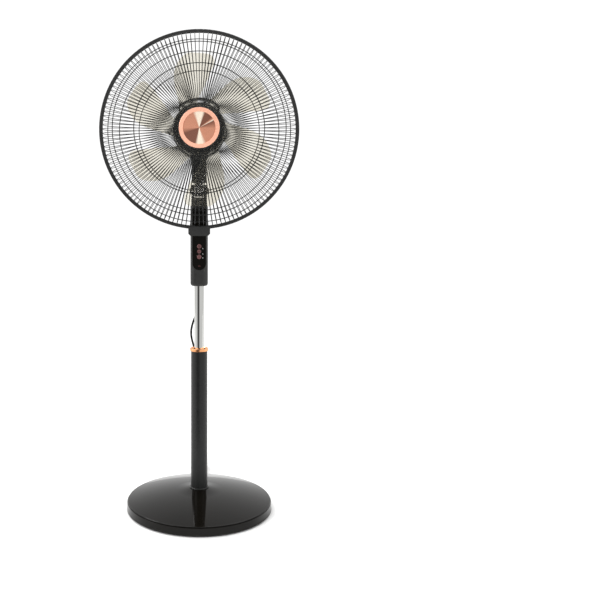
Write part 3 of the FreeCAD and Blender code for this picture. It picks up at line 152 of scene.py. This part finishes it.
def block_mesh(name, low, high, bevel, segments):
    """A box with rounded edges."""
    made = bmesh.new()
    bmesh.ops.create_cube(made, size=1)
    size = Vector(high) - Vector(low)
    middle = (Vector(high) + Vector(low)) / 2
    for vert in made.verts:
        vert.co = Vector(vert.co[i] * size[i] for i in range(3)) + middle
    bmesh.ops.bevel(made, geom=list(made.edges), offset=bevel, segments=segments,
                    profile=0.5, affect="EDGES")
    return take_mesh(name, made)


# ---- cord: routes and the hank's measures in mm, the rest in metres ----

CORD_DIAMETER = 0.005
CORD_SIDES = 14
CORD_ROUTE = [
    (0, 28, 509.5), (0, 28.5, 486), (-3, 29, 458), (-16, 29, 431), (-21, 29, 402),
    (-11, 28.5, 368), (-4, 28, 330), (-6, 28, 284), (-3, 29, 232), (-5, 30, 178),
    (-2, 33, 130), (-1, 42, 92), (-2, 62, 62), (0, 92, 45.5), (-2, 122, 38.5),
    (-5, 152, 34), (-8, 180, 31.5), (-12, 199, 29.7), (-15, 213, 28.8)]
TAIL_ROUTE = [(-14.5, 297, 2.8), (-11, 308, 3.2), (-4, 319, 4.8), (0, 329, 6)]
HANK_TURNS = 5
HANK_OVERRUN = 6    # points past the last whole turn, up to where the tail leaves
HANK_TOP = 28.4
HANK_FLOOR = 2.6
LOOP_RADIUS = 15.6
LOOP_NEAR = 224
LOOP_FAR = 286
LOOP_START = 0.02
BEND_STEPS = 6
# the loop's half width where the band pinches it, and the share of the way from near to far
WAIST = [(13.6, 0.2), (9.4, 0.4), (8.2, 0.5), (9.4, 0.6), (13.6, 0.8)]

PLUG_NECK_ROOM = 0.006
PLUG_BEVEL = 0.0028
RIB_COUNT = 4
RIB_FIRST = 0.012
RIB_PITCH = 0.0036
RIB_WIDE = 0.0016
RIB_INSET = 0.0035
RIB_RISE = 0.0004
RIB_BEVEL = 0.00035
NECK_POINTS = 7
NECK_START = 0.0005
NECK_STEP = 0.0011
NECK_RADIUS = 0.0031
NECK_FLARE = 0.0003
NECK_SIDES = 16

RELIEF_LENGTH = 0.030
RELIEF_STEPS = 40
RELIEF_INSET = 0.0002
RELIEF_RADIUS = 0.00325
RELIEF_FLARE = 0.00115
RELIEF_SIDES = 28
GROOVE_DEPTH = 0.00045
GROOVE_EVERY = 5
PLAIN_FOOT = 3      # steps left smooth at the sleeve's foot and at its top
PLAIN_TOP = 6

BAND_STEPS = 40
BAND_SQUARE = 0.45  # power of sine and cosine; 1 would leave the band round
BAND_HALF = 0.0024
BAND_THICK = 0.0009
BAND_GAP = 0.0004
BAND_LIFT = 0.0002


def hank_points():
    """Control points of the hank's turns, mm: flat pinched loops stacked in a falling spiral."""
    shape = []
    for across, share in [(LOOP_RADIUS, LOOP_START)] + WAIST:
        shape.append((-across, LOOP_NEAR + (LOOP_FAR - LOOP_NEAR) * share))
    for step in range(BEND_STEPS + 1):
        turn = math.pi * (1 - step / BEND_STEPS)
        shape.append((LOOP_RADIUS * math.cos(turn), LOOP_FAR + LOOP_RADIUS * math.sin(turn)))
    for across, share in reversed(WAIST):
        shape.append((across, LOOP_NEAR + (LOOP_FAR - LOOP_NEAR) * share))
    for step in range(BEND_STEPS):
        turn = -math.pi * step / BEND_STEPS
        shape.append((LOOP_RADIUS * math.cos(turn), LOOP_NEAR + LOOP_RADIUS * math.sin(turn)))
    total = len(shape) * HANK_TURNS + HANK_OVERRUN
    points = []
    for number in range(total):
        across, along = shape[number % len(shape)]
        points.append((across, along, HANK_TOP + (HANK_FLOOR - HANK_TOP) * number / total))
    return points


def cord():
    """Mains cord from the housing to the plug by way of the hank, one smooth line made a tube."""
    curve = bpy.data.curves.new("cord_line", "CURVE")
    curve.dimensions = "3D"
    spline = curve.splines.new("NURBS")
    route = CORD_ROUTE + hank_points() + TAIL_ROUTE
    spline.points.add(len(route) - 1)
    for point, spot in zip(spline.points, route):
        point.co = (spot[0] * MM, spot[1] * MM, spot[2] * MM, 1)
    spline.order_u = 3
    spline.use_endpoint_u = True
    spline.resolution_u = 8
    line = bpy.data.objects.new("cord_line", curve)
    mesh = bpy.data.meshes.new_from_object(line)
    path = [Vector(vert.co) for vert in mesh.vertices]
    bpy.data.objects.remove(line)
    radii = [CORD_DIAMETER / 2] * len(path)
    piece = add_mesh("mains_cord_skin", tube_mesh("mains_cord_skin", path, radii, CORD_SIDES),
                     "cord_rubber")
    length = sum((b - a).length for a, b in zip(path, path[1:]))
    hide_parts("mains_cord", "cord_hank")
    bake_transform(piece)
    return piece, path, length


def plug():
    """Moulded plug with grip ribs over the CAD body's place, riding with the base."""
    low, high = corners("plug")
    middle = (low + high) / 2
    body = block_mesh("plug_body", low + Vector((0, PLUG_NECK_ROOM, 0)), high, PLUG_BEVEL, 4)
    piece = add_mesh("plug_body", body, "cord_rubber", "base")
    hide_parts("plug")
    made = [piece]
    for index in range(RIB_COUNT):
        name = "plug_rib_%d" % index
        along = low.y + RIB_FIRST + index * RIB_PITCH
        rib = block_mesh(name, (low.x + RIB_INSET, along, high.z - RIB_RISE),
                         (high.x - RIB_INSET, along + RIB_WIDE, high.z + RIB_RISE), RIB_BEVEL, 2)
        made.append(add_mesh(name, rib, "cord_rubber", "base"))
    path = [Vector((middle.x, low.y + NECK_START + step * NECK_STEP, middle.z))
            for step in range(NECK_POINTS)]
    radii = [NECK_RADIUS + NECK_FLARE * step for step in range(NECK_POINTS)]
    neck = tube_mesh("plug_neck", path, radii, NECK_SIDES)
    made.append(add_mesh("plug_neck", neck, "cord_rubber", "base"))
    return made


def strain_relief():
    """Tapered ribbed sleeve where the cord leaves the housing."""
    low, high = corners("cord_strain_relief")
    x = (low.x + high.x) / 2
    y = (low.y + high.y) / 2
    points = []
    radii = []
    for step in range(RELIEF_STEPS + 1):
        share = step / RELIEF_STEPS
        rise = RELIEF_INSET + (RELIEF_LENGTH - 2 * RELIEF_INSET) * share
        points.append(Vector((x, y, low.z + rise)))
        grooved = step % GROOVE_EVERY in (1, 2) and PLAIN_FOOT < step < RELIEF_STEPS - PLAIN_TOP
        radii.append(RELIEF_RADIUS + RELIEF_FLARE * share - (GROOVE_DEPTH if grooved else 0))
    mesh = tube_mesh("strain_relief_sleeve", points, radii, RELIEF_SIDES)
    piece = add_mesh("strain_relief_sleeve", mesh, "cord_rubber", "column")
    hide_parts("cord_strain_relief")
    return piece


def squared(value):
    """Pushes a sine or cosine outwards, so that a circle becomes a rounded rectangle."""
    return math.copysign(abs(value) ** BAND_SQUARE, value)


def cord_tie():
    """Flat band round the hank's waist."""
    low, high = corners("cord_tie")
    y = (low.y + high.y) / 2
    half_wide = (high.x - low.x) / 2 - BAND_GAP
    tall = high.z - BAND_GAP
    inner = 1 - BAND_THICK / half_wide
    made = bmesh.new()
    rings = []
    for index in range(BAND_STEPS):
        turn = 2 * math.pi * index / BAND_STEPS
        across = squared(math.cos(turn)) * half_wide
        up = tall / 2 + squared(math.sin(turn)) * (tall / 2 - BAND_LIFT)
        up_inside = tall / 2 + (up - tall / 2) * inner
        rings.append([made.verts.new((across, y - BAND_HALF, up)),
                      made.verts.new((across, y + BAND_HALF, up)),
                      made.verts.new((across * inner, y + BAND_HALF, up_inside)),
                      made.verts.new((across * inner, y - BAND_HALF, up_inside))])
    skin(made, rings + rings[:1])
    bmesh.ops.recalc_face_normals(made, faces=made.faces)
    piece = add_mesh("hank_band", take_mesh("hank_band", made), "cord_rubber", "base")
    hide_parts("cord_tie")
    return piece


cord_piece, cord_line, cord_length = cord()
plug_pieces = plug()
relief_piece = strain_relief()
tie_piece = cord_tie()


# ---- tilt yoke ----

WEB_HALF_X = 0.0099
WEB_HALF_Y = 0.0125
WEB_FOOT = 0.0185
WEB_TOP = 0.0305
WEB_BEVEL = 0.0008


def yoke_web():
    """Block that closes the gap between the yoke's ears, under the neck's tongue."""
    foot = corners("tilt_yoke")[0].z
    mesh = block_mesh("yoke_web", (-WEB_HALF_X, -WEB_HALF_Y, foot + WEB_FOOT),
                      (WEB_HALF_X, WEB_HALF_Y, foot + WEB_TOP), WEB_BEVEL, 2)
    add_mesh("yoke_web", mesh, SLOT_OF["tilt_yoke"], "column")


yoke_web()


# ---- materials ----

NOISE_LOW = 0.3     # nearly all of a noise texture's values lie between these two
NOISE_HIGH = 0.7
TONE_SCALE = 14
MARKS_SCALE = 90
BRUSH_SCALE = 240
LATHE_SCALE = 4200
COAT_ROUGHNESS = 0.05


def new_material(name):
    """An empty node material, its node tree and its shader."""
    material = bpy.data.materials.new(name)
    material.use_nodes = True
    shader = material.node_tree.nodes["Principled BSDF"]
    return material, material.node_tree, shader


def set_shader(shader, **values):
    """Sets the shader's own sockets; spaces in their names are written as underscores."""
    for name, number in values.items():
        shader.inputs[name.replace("_", " ")].default_value = number


def noise(tree, scale, detail, stretch=(1, 1, 1)):
    """Noise in the object's own metres."""
    place = tree.nodes.new("ShaderNodeTexCoord")
    turn = tree.nodes.new("ShaderNodeMapping")
    turn.inputs["Scale"].default_value = stretch
    cloud = tree.nodes.new("ShaderNodeTexNoise")
    cloud.inputs["Scale"].default_value = scale
    cloud.inputs["Detail"].default_value = detail
    tree.links.new(place.outputs["Object"], turn.inputs["Vector"])
    tree.links.new(turn.outputs["Vector"], cloud.inputs["Vector"])
    return cloud.outputs["Fac"]


def ramp(tree, source, stops):
    """Colours along a value: stops are (place, colour)."""
    node = tree.nodes.new("ShaderNodeValToRGB")
    band = node.color_ramp
    while len(band.elements) < len(stops):
        band.elements.new(0.5)
    for element, (place, colour) in zip(band.elements, stops):
        element.position = place
        element.color = (*colour, 1)
    tree.links.new(source, node.inputs["Fac"])
    return node.outputs["Color"]


def tones(tree, source, first, second):
    """Two colours shared out over a noise."""
    return ramp(tree, source, [(NOISE_LOW, first), (NOISE_HIGH, second)])


def spread(tree, source, low, high, from_low=NOISE_LOW, from_high=NOISE_HIGH):
    """A value moved to a new range."""
    node = tree.nodes.new("ShaderNodeMapRange")
    node.inputs["From Min"].default_value = from_low
    node.inputs["From Max"].default_value = from_high
    node.inputs["To Min"].default_value = low
    node.inputs["To Max"].default_value = high
    tree.links.new(source, node.inputs["Value"])
    return node.outputs["Result"]


def bump(tree, shader, source, strength, distance):
    """Fine relief from a value."""
    node = tree.nodes.new("ShaderNodeBump")
    node.inputs["Strength"].default_value = strength
    node.inputs["Distance"].default_value = distance
    tree.links.new(source, node.inputs["Height"])
    tree.links.new(node.outputs["Normal"], shader.inputs["Normal"])


def worn(colour, amount):
    """The same colour a little lighter or darker."""
    return tuple(max(0.0, min(1.0, part * (1 + amount))) for part in colour)


def plastic(name, colour, rough, grain, relief, vary=0.15, coat=0.0, specular=0.5):
    """Moulded plastic or paint: soft tone changes, uneven gloss, fine grain and faint marks."""
    material, tree, shader = new_material(name)
    set_shader(shader, Specular_IOR_Level=specular, Coat_Weight=coat, Coat_Roughness=COAT_ROUGHNESS)
    soft = noise(tree, TONE_SCALE, 3)
    tree.links.new(tones(tree, soft, worn(colour, -vary), worn(colour, vary)),
                   shader.inputs["Base Color"])
    marks = noise(tree, MARKS_SCALE, 6)
    tree.links.new(spread(tree, marks, rough * 0.85, rough * 1.2), shader.inputs["Roughness"])
    if relief:
        bump(tree, shader, noise(tree, grain, 2), relief, 0.0002)
    return material


def metal(name, colour, rough, relief, stretch=(1, 1, 1), vary=0.08, metallic=1.0):
    """Bare or plated metal; a stretch other than even draws its marks out along one way."""
    material, tree, shader = new_material(name)
    set_shader(shader, Metallic=metallic)
    marks = noise(tree, BRUSH_SCALE, 5, stretch)
    tree.links.new(tones(tree, marks, worn(colour, -vary), worn(colour, vary)),
                   shader.inputs["Base Color"])
    tree.links.new(spread(tree, marks, rough * 0.7, rough * 1.3), shader.inputs["Roughness"])
    if relief:
        bump(tree, shader, marks, relief, 0.0001)
    return material


def spun_values(tree, centre):
    """Angle (0 to 1) and distance in metres about the motor's forward axis."""
    place = tree.nodes.new("ShaderNodeTexCoord")
    move = tree.nodes.new("ShaderNodeMapping")
    move.inputs["Location"].default_value = (-centre[0], -centre[1], -centre[2])
    split = tree.nodes.new("ShaderNodeSeparateXYZ")
    tree.links.new(place.outputs["Object"], move.inputs["Vector"])
    tree.links.new(move.outputs["Vector"], split.inputs["Vector"])
    angle = tree.nodes.new("ShaderNodeMath")
    angle.operation = "ARCTAN2"
    tree.links.new(split.outputs["X"], angle.inputs[0])
    tree.links.new(split.outputs["Z"], angle.inputs[1])
    share = spread(tree, angle.outputs[0], 0, 1, -math.pi, math.pi)
    flat = tree.nodes.new("ShaderNodeCombineXYZ")
    tree.links.new(split.outputs["X"], flat.inputs["X"])
    tree.links.new(split.outputs["Z"], flat.inputs["Y"])
    far = tree.nodes.new("ShaderNodeVectorMath")
    far.operation = "LENGTH"
    tree.links.new(flat.outputs["Vector"], far.inputs[0])
    return share, far.outputs["Value"]


# painted highlight and painted reflection: the spun disc's sheen set in its colour as bright,
# middle and dark wedges by angle about its centre
HIGHLIGHT_TONE = (0.99, 0.84, 0.68)
MID_REFLECTION_TONE = (0.62, 0.27, 0.17)
SHADOW_REFLECTION_TONE = (0.20, 0.075, 0.045)
PAINTED_REFLECTION_WEDGES = [(0.0, HIGHLIGHT_TONE), (0.014, HIGHLIGHT_TONE), (0.042, SHADOW_REFLECTION_TONE), (0.19, SHADOW_REFLECTION_TONE), (0.25, MID_REFLECTION_TONE),
          (0.435, MID_REFLECTION_TONE), (0.468, HIGHLIGHT_TONE), (0.535, HIGHLIGHT_TONE), (0.56, SHADOW_REFLECTION_TONE), (0.64, SHADOW_REFLECTION_TONE),
          (0.66, MID_REFLECTION_TONE), (0.668, HIGHLIGHT_TONE), (0.68, SHADOW_REFLECTION_TONE), (0.76, MID_REFLECTION_TONE), (0.93, MID_REFLECTION_TONE),
          (0.965, HIGHLIGHT_TONE)]


def spun_copper():
    """Copper disc turned on a lathe: fine concentric grooves, with painted highlight and painted
    reflection wedges in its colour by angle about the centre.
    """
    material, tree, shader = new_material("spun_copper")
    set_shader(shader, Metallic=0.3, Anisotropic=0.75)
    low, high = corners("badge_face")
    share, far = spun_values(tree, (low + high) / 2)
    # painted highlights and painted reflection shade in the base colour, by angle about the centre;
    # the groove tones below are the disc's own
    colour = ramp(tree, share, PAINTED_REFLECTION_WEDGES)
    grooves = tree.nodes.new("ShaderNodeTexNoise")
    grooves.noise_dimensions = "1D"
    grooves.inputs["Scale"].default_value = LATHE_SCALE
    grooves.inputs["Detail"].default_value = 3
    tree.links.new(far, grooves.inputs["W"])
    mix = tree.nodes.new("ShaderNodeMix")
    mix.data_type = "RGBA"
    mix.blend_type = "MULTIPLY"
    mix.inputs["Factor"].default_value = 0.35
    tree.links.new(colour, mix.inputs["A"])
    tree.links.new(tones(tree, grooves.outputs["Fac"], (0.72, 0.70, 0.68), (1, 1, 1)),
                   mix.inputs["B"])
    tree.links.new(mix.outputs["Result"], shader.inputs["Base Color"])
    tree.links.new(spread(tree, grooves.outputs["Fac"], 0.24, 0.38), shader.inputs["Roughness"])
    tangent = tree.nodes.new("ShaderNodeTangent")
    tangent.direction_type = "RADIAL"
    tangent.axis = "Y"
    tree.links.new(tangent.outputs["Tangent"], shader.inputs["Tangent"])
    bump(tree, shader, grooves.outputs["Fac"], 0.15, 0.00005)
    return material


def blade_resin():
    """Champagne-tinted translucent resin with a faint cloudiness."""
    material, tree, shader = new_material("blade_resin")
    set_shader(shader, Transmission_Weight=0.97, IOR=1.2)
    cloud = noise(tree, 22, 4)
    tree.links.new(tones(tree, cloud, (0.76, 0.725, 0.63), (0.86, 0.83, 0.74)),
                   shader.inputs["Base Color"])
    tree.links.new(spread(tree, noise(tree, 120, 5), 0.05, 0.13), shader.inputs["Roughness"])
    bump(tree, shader, noise(tree, 60, 2), 0.05, 0.0003)
    return material


MATERIALS = {
    "gloss_black": plastic("gloss_black", (0.0036, 0.003, 0.0022), rough=0.05, grain=400,
                           relief=0.0, vary=0.2, specular=0.16),
    "satin_black_metal": plastic("satin_black_metal", (0.0085, 0.009, 0.0087), rough=0.3,
                                 grain=1800, relief=0.03, specular=0.28),
    "dark_plastic": plastic("dark_plastic", (0.019, 0.019, 0.0185), rough=0.42, grain=2400,
                            relief=0.16, vary=0.12, specular=0.32),
    "chrome": metal("chrome", (0.50, 0.50, 0.485), rough=0.045, relief=0.0,
                    stretch=(1, 1, 0.05), vary=0.03),
    "copper_plate": metal("copper_plate", (1.0, 0.50, 0.35), rough=0.24, relief=0.0,
                          vary=0.02, metallic=0.3),
    "rose_button": plastic("rose_button", (0.15, 0.062, 0.062), rough=0.22, grain=900,
                           relief=0.04, coat=0.4),
    "clear_amber": blade_resin(),
    "ballast_iron": metal("ballast_iron", (0.20, 0.20, 0.21), rough=0.55, relief=0.3, vary=0.25),
    "rubber": plastic("rubber", (0.018, 0.018, 0.018), rough=0.75, grain=1500, relief=0.3,
                      vary=0.2),
    "zinc_steel": metal("zinc_steel", (0.56, 0.56, 0.55), rough=0.3, relief=0.08, vary=0.1),
    "cast_alloy": metal("cast_alloy", (0.46, 0.47, 0.48), rough=0.5, relief=0.3, vary=0.12),
    "core_steel": metal("core_steel", (0.24, 0.24, 0.25), rough=0.45, relief=0.3,
                        stretch=(0.05, 8, 0.05), vary=0.3),
    "copper_wire": metal("copper_wire", (0.52, 0.20, 0.08), rough=0.35, relief=0.3, vary=0.25),
    "white_nylon": plastic("white_nylon", (0.62, 0.61, 0.57), rough=0.45, grain=900,
                           relief=0.08, vary=0.06),
    "circuit_board": plastic("circuit_board", (0.02, 0.11, 0.04), rough=0.35, grain=600,
                             relief=0.05, vary=0.2),
    "white_lamp": plastic("white_lamp", (0.62, 0.62, 0.62), rough=0.2, grain=600, relief=0.0,
                          vary=0.05),
    "smoke_lens": plastic("smoke_lens", (0.10, 0.035, 0.035), rough=0.08, grain=600, relief=0.0),
    "cord_rubber": plastic("cord_rubber", (0.005, 0.005, 0.005), rough=0.5, grain=1600,
                           relief=0.18, vary=0.2, specular=0.2),
    "brass_pin": metal("brass_pin", (0.68, 0.52, 0.26), rough=0.22, relief=0.05,
                       stretch=(1, 0.05, 1)),
}
# nodes that need more than their slot's material
SPECIAL = {"badge_face": spun_copper(),
           "height_ring": metal("collar_copper", (0.83, 0.38, 0.17), rough=0.14, relief=0.0,
                                vary=0.04)}


def paint(piece, name):
    """Puts a piece's material in its slots."""
    material = SPECIAL.get(name) or MATERIALS[SLOT_OF[name]]
    if piece.material_slots:
        for holder in piece.material_slots:
            holder.material = material
    else:
        piece.data.materials.append(material)


# ---- control panel marks ----

MARK_DEPTH = 0.0002
ARC_STEPS = 18


def icon_strip(name, node, body, outlines):
    """Flat marks a hair proud of a button's face; outlines are closed lists of (x, z) in mm."""
    low, high = corners(node)
    middle = (low + high) / 2
    made = bmesh.new()
    for outline in outlines:
        front = []
        back = []
        for x, z in outline:
            across = middle.x + x * MM
            up = middle.z + z * MM
            front.append(made.verts.new((across, low.y - MARK_DEPTH, up)))
            back.append(made.verts.new((across, low.y + MARK_DEPTH, up)))
        made.faces.new(front)
        made.faces.new(list(reversed(back)))
        for index in range(len(front)):
            after = (index + 1) % len(front)
            made.faces.new((front[index], back[index], back[after], front[after]))
    bmesh.ops.recalc_face_normals(made, faces=made.faces)
    add_mesh(name, take_mesh(name, made), "gloss_black", body, False)


def bent_bar(radius, wide, start, end):
    """An arc-shaped bar's outline, mm and degrees from the top clockwise."""
    outer = []
    inner = []
    for step in range(ARC_STEPS + 1):
        turn = math.radians(start + (end - start) * step / ARC_STEPS)
        for side, far in ((outer, radius + wide / 2), (inner, radius - wide / 2)):
            side.append((far * math.sin(turn), far * math.cos(turn)))
    return outer + list(reversed(inner))


def bar(x, z, wide, tall):
    """A rectangle's outline about a middle, mm."""
    return [(x - wide / 2, z - tall / 2), (x + wide / 2, z - tall / 2),
            (x + wide / 2, z + tall / 2), (x - wide / 2, z + tall / 2)]


icon_strip("power_mark", "power_button", "power_key",
           [bent_bar(2.3, 0.6, 35, 325), bar(0, 1.8, 0.6, 2.2)])
icon_strip("speed_mark", "speed_button", "speed_key",
           [bent_bar(1.9, 0.7, 20 + 120 * blade, 85 + 120 * blade) for blade in range(3)]
           + [bar(0, 0, 0.9, 0.9)])
icon_strip("swing_mark", "swing_button", "swing_key",
           [bent_bar(2.4, 0.6, 300, 420), bar(0, -0.6, 0.6, 2.4), bar(0, -2.4, 3.2, 0.6)])


# ---- stage ----

FLOOR_CORNERS = ((-3, -0.5, 0), (3, -0.5, 0), (3, 5, 0), (-3, 5, 0))
FLOOR_DROP = 0.0002
DIM_WAY = (-0.3, -0.93, -0.15)      # the middle of the sky's dim patch, behind the camera
DIM_EDGE = 0.86                     # cosine from that middle where the sky starts to fade
DIM_CORE = 0.975                    # cosine where it is dimmest
SKY_BRIGHT = 1.08
SKY_DIM = 0.10
SUN_WAY = (0.5, -0.42, -0.8)


def area_light(name, place, aim, size, power):
    """A soft rectangular light turned towards a point."""
    data = bpy.data.lights.new(name, "AREA")
    data.shape = "RECTANGLE"
    data.size = size[0]
    data.size_y = size[1]
    data.energy = power
    lamp = add_object(name, data)
    lamp.location = place
    lamp.rotation_euler = (Vector(aim) - Vector(place)).to_track_quat("-Z", "Y").to_euler()


def pale_floor():
    """Pale matt floor."""
    made = bmesh.new()
    made.faces.new([made.verts.new(spot) for spot in FLOOR_CORNERS])
    mesh = take_mesh("floor", made)
    floor = add_object("floor", mesh)
    floor.location.z = -FLOOR_DROP
    material, tree, shader = new_material("floor_paint")
    set_shader(shader, Roughness=0.9, Specular_IOR_Level=0.0)
    tree.links.new(tones(tree, noise(tree, 0.8, 2), (0.85, 0.85, 0.845), (0.87, 0.87, 0.865)),
                   shader.inputs["Base Color"])
    mesh.materials.append(material)
    floor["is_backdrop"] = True


def sky():
    """White sky with one dim patch, which darkens what glossy surfaces mirror from the front."""
    world = bpy.data.worlds.new("studio")
    bpy.context.scene.world = world
    world.use_nodes = True
    tree = world.node_tree
    glow = tree.nodes["Background"]
    glow.inputs["Color"].default_value = (1, 1, 1, 1)
    place = tree.nodes.new("ShaderNodeTexCoord")
    facing = tree.nodes.new("ShaderNodeVectorMath")
    facing.operation = "DOT_PRODUCT"
    facing.inputs[1].default_value = Vector(DIM_WAY).normalized()
    tree.links.new(place.outputs["Generated"], facing.inputs[0])
    strength = spread(tree, facing.outputs["Value"], SKY_BRIGHT, SKY_DIM, DIM_EDGE, DIM_CORE)
    tree.links.new(strength, glow.inputs["Strength"])


def sun():
    """Soft sun that gives the contact shadow its side."""
    data = bpy.data.lights.new("sun", "SUN")
    data.energy = 1.1
    data.angle = 0.25
    lamp = add_object("sun", data)
    lamp.rotation_euler = Vector(SUN_WAY).to_track_quat("-Z", "Y").to_euler()


pale_floor()
sky()
area_light("left_light", (-2.4, -1.8, 2.2), (0, 0, 0.8), (1.4, 1.8), 50)
sun()
area_light("right_light", (2.8, -1.2, 2.0), (0, 0, 0.6), (1.2, 2.4), 18)
area_light("top_light", (0.2, 0.6, 3.2), (0, 0, 0.3), (2.0, 2.0), 30)
bpy.context.scene.view_settings.view_transform = "Standard"

for node, thing in frame["nodes"].items():
    paint(thing, node)
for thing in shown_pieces():
    if thing.name in SLOT_OF and thing.name not in frame["nodes"]:
        paint(thing, thing.name)
